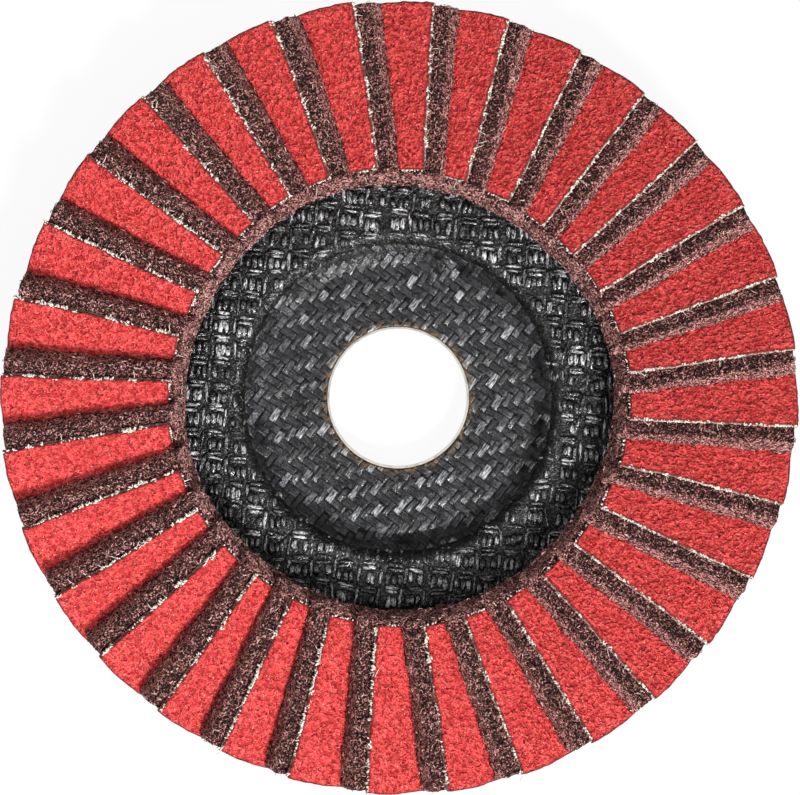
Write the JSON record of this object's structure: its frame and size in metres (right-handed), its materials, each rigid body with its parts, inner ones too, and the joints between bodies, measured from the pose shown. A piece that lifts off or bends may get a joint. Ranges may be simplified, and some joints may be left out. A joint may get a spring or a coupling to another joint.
{
  "type": "non-woven flap disc",
  "caption": "Interleaved flap disc for an angle grinder: a dished black glass-cloth backing plate carries a leaning fan of red coated-cloth and brown non-woven flaps.",
  "frame": {"origin": "on the bore's axis at the back seating face of the hub, which is also the lowest plane of the disc", "axes": "+Z out of the abrasive face, along the spindle and away from the grinder; the radial line that the first pair of flaps follows lies 2.75 degrees clockwise of +Y as seen from the front"},
  "size_m": [0.127, 0.127, 0.0156],
  "materials": {
    "glass_cloth_laminate": "resin-rich moulded weave",
    "tinplate": "satin",
    "cured_adhesive": "satin",
    "coated_cloth": "granular",
    "nonwoven_web": "fibrous"
  },
  "bodies": {
    "root": {"backing_plate": "glass_cloth_laminate", "arbor_ring": "tinplate", "adhesive_bed": "cured_adhesive", "abrasive_flap_01": "coated_cloth", "abrasive_flap_02": "coated_cloth", "abrasive_flap_03": "coated_cloth", "abrasive_flap_04": "coated_cloth", "abrasive_flap_05": "coated_cloth", "abrasive_flap_06": "coated_cloth", "abrasive_flap_07": "coated_cloth", "abrasive_flap_08": "coated_cloth", "abrasive_flap_09": "coated_cloth", "abrasive_flap_10": "coated_cloth", "abrasive_flap_11": "coated_cloth", "abrasive_flap_12": "coated_cloth", "abrasive_flap_13": "coated_cloth", "abrasive_flap_14": "coated_cloth", "abrasive_flap_15": "coated_cloth", "abrasive_flap_16": "coated_cloth", "abrasive_flap_17": "coated_cloth", "abrasive_flap_18": "coated_cloth", "abrasive_flap_19": "coated_cloth", "abrasive_flap_20": "coated_cloth", "abrasive_flap_21": "coated_cloth", "abrasive_flap_22": "coated_cloth", "abrasive_flap_23": "coated_cloth", "abrasive_flap_24": "coated_cloth", "abrasive_flap_25": "coated_cloth", "abrasive_flap_26": "coated_cloth", "abrasive_flap_27": "coated_cloth", "abrasive_flap_28": "coated_cloth", "abrasive_flap_29": "coated_cloth", "abrasive_flap_30": "coated_cloth", "abrasive_flap_31": "coated_cloth", "abrasive_flap_32": "coated_cloth", "nonwoven_flaps_01_17": "nonwoven_web", "nonwoven_flaps_02_18": "nonwoven_web", "nonwoven_flaps_03_19": "nonwoven_web", "nonwoven_flaps_04_20": "nonwoven_web", "nonwoven_flaps_05_21": "nonwoven_web", "nonwoven_flaps_06_22": "nonwoven_web", "nonwoven_flaps_07_23": "nonwoven_web", "nonwoven_flaps_08_24": "nonwoven_web", "nonwoven_flaps_09_25": "nonwoven_web", "nonwoven_flaps_10_26": "nonwoven_web", "nonwoven_flaps_11_27": "nonwoven_web", "nonwoven_flaps_12_28": "nonwoven_web", "nonwoven_flaps_13_29": "nonwoven_web", "nonwoven_flaps_14_30": "nonwoven_web", "nonwoven_flaps_15_31": "nonwoven_web", "nonwoven_flaps_16_32": "nonwoven_web"}
  },
  "joints": []
}
